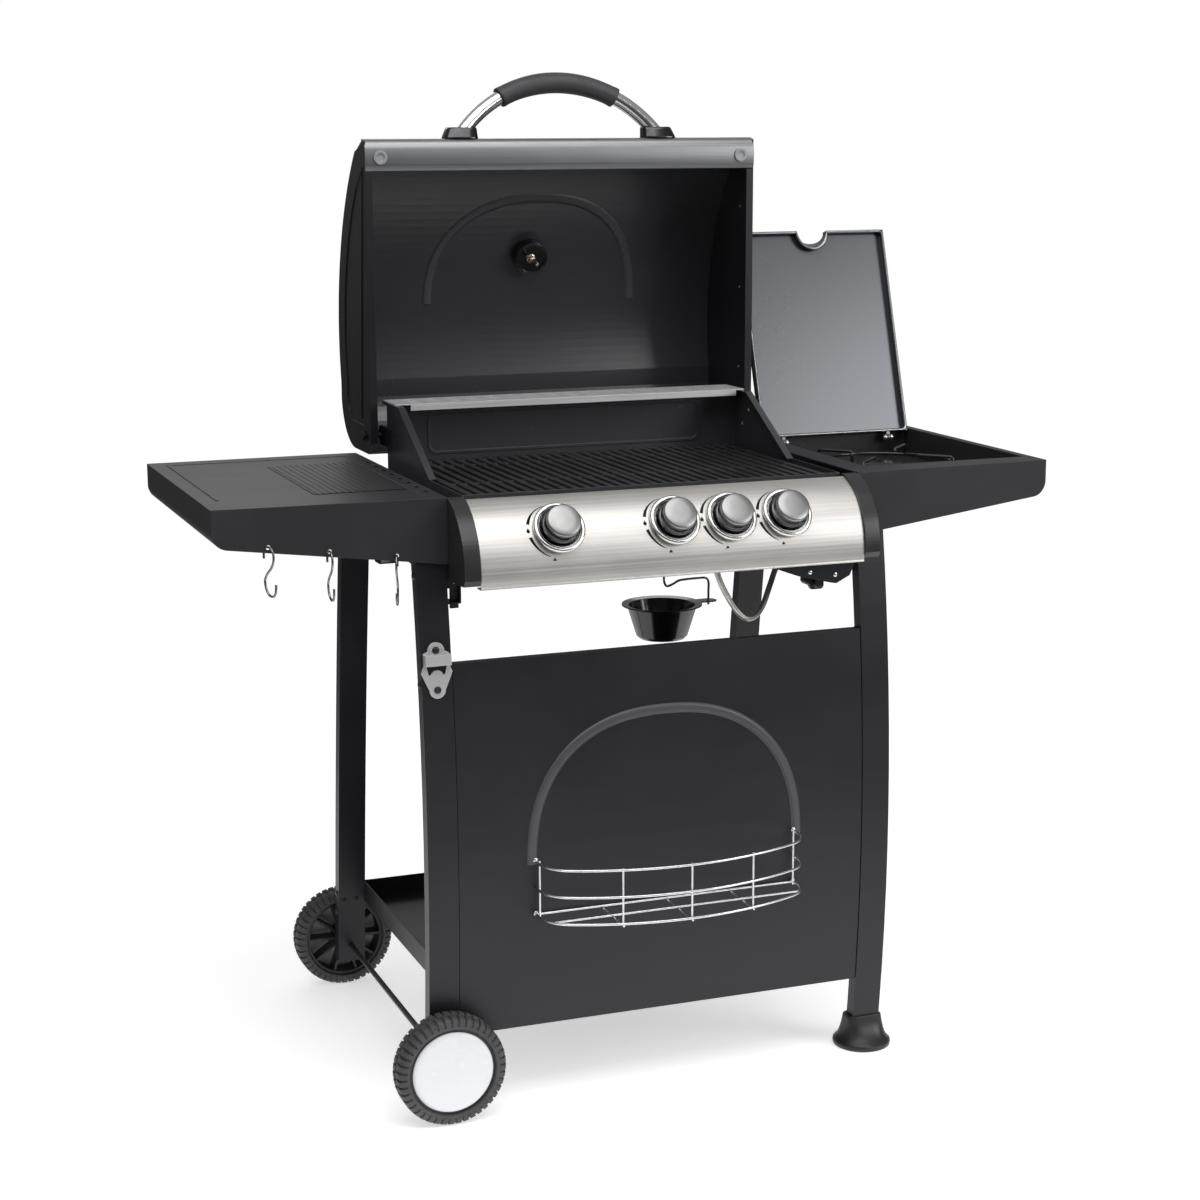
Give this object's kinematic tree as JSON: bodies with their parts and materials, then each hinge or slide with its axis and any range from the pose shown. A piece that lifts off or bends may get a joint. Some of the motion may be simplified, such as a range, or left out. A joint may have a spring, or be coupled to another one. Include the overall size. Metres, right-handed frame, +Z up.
{
  "type": "gas barbecue grill",
  "caption": "Wheeled gas barbecue grill with a hinged lid, a side burner under its own lid, side shelves, control knobs, a front panel with a wire basket and a bottom shelf.",
  "frame": {"origin": "on the floor, under the middle of the grill's bounding box at rest (both lids open)", "axes": "+Z up; the control panel faces -Y; +X is to the right, towards the side burner, as the cook sees it"},
  "size_m": [1.196, 0.6568, 1.3737],
  "materials": {
    "black_enamel": "satin black powder coat",
    "gloss_enamel": "glossy black porcelain enamel",
    "brushed_steel": "brushed along the width",
    "satin_steel": "satin",
    "satin_chrome": "satin chrome plate",
    "bright_wire": "bright nickel plate",
    "plain_steel": "plain drawn steel",
    "dark_steel": "black zinc plate",
    "grey_metal": "grey enamelled sheet",
    "brass": "machined brass",
    "tyre_rubber": "matte moulded tread",
    "grey_rubber": "moulded silicone",
    "black_plastic": "fine moulded grain",
    "grip_plastic": "soft-touch",
    "white_plastic": "painted silver white",
    "ceramic": "glazed",
    "dial_face": "printed dial"
  },
  "bodies": {
    "cart": {"leg_front_left": "black_enamel", "leg_front_right": "black_enamel", "leg_rear_left": "black_enamel", "leg_rear_right": "black_enamel", "upper_frame": "black_enamel", "bottom_shelf": "black_enamel", "front_panel": "black_enamel", "feet": "black_plastic", "axle": "dark_steel", "firebox": "black_enamel", "lid_hinges": "black_enamel", "control_fascia": "brushed_steel", "fascia_end_caps": "black_plastic", "knob_bezels": "satin_chrome", "gas_manifold": "plain_steel", "gas_valves": "brass", "main_burners": "plain_steel", "flame_tamers": "plain_steel", "igniter_electrodes": "ceramic", "cooking_grates": "gloss_enamel", "warming_rack": "satin_steel", "left_shelf": "black_enamel", "right_shelf": "black_enamel", "side_burner": "gloss_enamel", "pan_support": "gloss_enamel", "side_burner_pipe": "plain_steel", "side_lid_hinges": "bright_wire", "bottle_opener": "bright_wire", "condiment_basket": "bright_wire", "cart_screws": "bright_wire"},
    "main_lid": {"lid_shell": "black_enamel", "lid_ends": "black_enamel", "lid_front_lip": "grey_metal", "lid_bumpers": "grey_rubber", "handle_tube": "satin_chrome", "handle_grip": "grip_plastic", "handle_ferrules": "black_plastic", "thermometer_case": "satin_chrome", "thermometer_dial": "dial_face", "thermometer_probe": "brass"},
    "side_burner_lid": {"side_lid": "black_enamel"},
    "front_wheel": {"tyre_front": "tyre_rubber", "rim_front": "black_plastic", "hub_cap_front": "white_plastic"},
    "rear_wheel": {"tyre_rear": "tyre_rubber", "rim_rear": "black_plastic", "hub_cap_rear": "white_plastic"},
    "grease_hanger": {"grease_hook": "bright_wire", "grease_cup": "gloss_enamel"},
    "s_hook_outer": {"hook_outer": "bright_wire"},
    "s_hook_middle": {"hook_middle": "bright_wire"},
    "s_hook_inner": {"hook_inner": "bright_wire"},
    "stem_1": {"valve_stem_1": "plain_steel"},
    "control_knob_1": {"knob_1": "satin_chrome"},
    "stem_2": {"valve_stem_2": "plain_steel"},
    "control_knob_2": {"knob_2": "satin_chrome"},
    "stem_3": {"valve_stem_3": "plain_steel"},
    "control_knob_3": {"knob_3": "satin_chrome"},
    "stem_4": {"valve_stem_4": "plain_steel"},
    "control_knob_4": {"knob_4": "satin_chrome"}
  },
  "joints": [
    {"name": "main_lid_hinge", "type": "hinge", "parent": "cart", "child": "main_lid", "pos_m": [0, 0.1735, 0.865], "axis": [1, 0, 0], "range_deg": [0, 90]},
    {"name": "side_lid_hinge", "type": "hinge", "parent": "cart", "child": "side_burner_lid", "pos_m": [0.457, 0.1815, 0.82], "axis": [1, 0, 0], "range_deg": [0, 107.6]},
    {"name": "front_wheel_spin", "type": "hinge", "parent": "cart", "child": "front_wheel", "pos_m": [-0.317, -0.2565, 0.075], "axis": [0, 1, 0], "continuous": true},
    {"name": "rear_wheel_spin", "type": "hinge", "parent": "cart", "child": "rear_wheel", "pos_m": [-0.317, 0.3015, 0.075], "axis": [0, 1, 0], "continuous": true},
    {"name": "grease_hanger_swing", "type": "hinge", "parent": "cart", "child": "grease_hanger", "pos_m": [0.097, -0.0015, 0.7008], "axis": [0, 1, 0], "range_deg": [-12, 12]},
    {"name": "hook_outer_swing", "type": "hinge", "parent": "cart", "child": "s_hook_outer", "pos_m": [-0.527, -0.20455, 0.781], "axis": [0, 1, 0], "range_deg": [-25, 25]},
    {"name": "hook_middle_swing", "type": "hinge", "parent": "cart", "child": "s_hook_middle", "pos_m": [-0.449, -0.20763, 0.771], "axis": [0, 1, 0], "range_deg": [-25, 25]},
    {"name": "hook_inner_swing", "type": "hinge", "parent": "cart", "child": "s_hook_inner", "pos_m": [-0.362, -0.21107, 0.76], "axis": [0, 1, 0], "range_deg": [-15, 25]},
    {"name": "knob_1_push", "type": "slide", "parent": "cart", "child": "stem_1", "axis": [0, 0.829, -0.5592], "range_m": [0, 0.003], "stiffness_N_per_m": 2500, "springref_m": -0.003},
    {"name": "knob_1_turn", "type": "hinge", "parent": "stem_1", "child": "control_knob_1", "pos_m": [-0.161, -0.25911, 0.78733], "axis": [0, -0.829, 0.5592], "range_deg": [0, 180]},
    {"name": "knob_2_push", "type": "slide", "parent": "cart", "child": "stem_2", "axis": [0, 0.829, -0.5592], "range_m": [0, 0.003], "stiffness_N_per_m": 2500, "springref_m": -0.003},
    {"name": "knob_2_turn", "type": "hinge", "parent": "stem_2", "child": "control_knob_2", "pos_m": [0, -0.25911, 0.78733], "axis": [0, -0.829, 0.5592], "range_deg": [0, 180]},
    {"name": "knob_3_push", "type": "slide", "parent": "cart", "child": "stem_3", "axis": [0, 0.829, -0.5592], "range_m": [0, 0.003], "stiffness_N_per_m": 2500, "springref_m": -0.003},
    {"name": "knob_3_turn", "type": "hinge", "parent": "stem_3", "child": "control_knob_3", "pos_m": [0.081, -0.25911, 0.78733], "axis": [0, -0.829, 0.5592], "range_deg": [0, 180]},
    {"name": "knob_4_push", "type": "slide", "parent": "cart", "child": "stem_4", "axis": [0, 0.829, -0.5592], "range_m": [0, 0.003], "stiffness_N_per_m": 2500, "springref_m": -0.003},
    {"name": "knob_4_turn", "type": "hinge", "parent": "stem_4", "child": "control_knob_4", "pos_m": [0.162, -0.25911, 0.78733], "axis": [0, -0.829, 0.5592], "range_deg": [0, 180]}
  ]
}
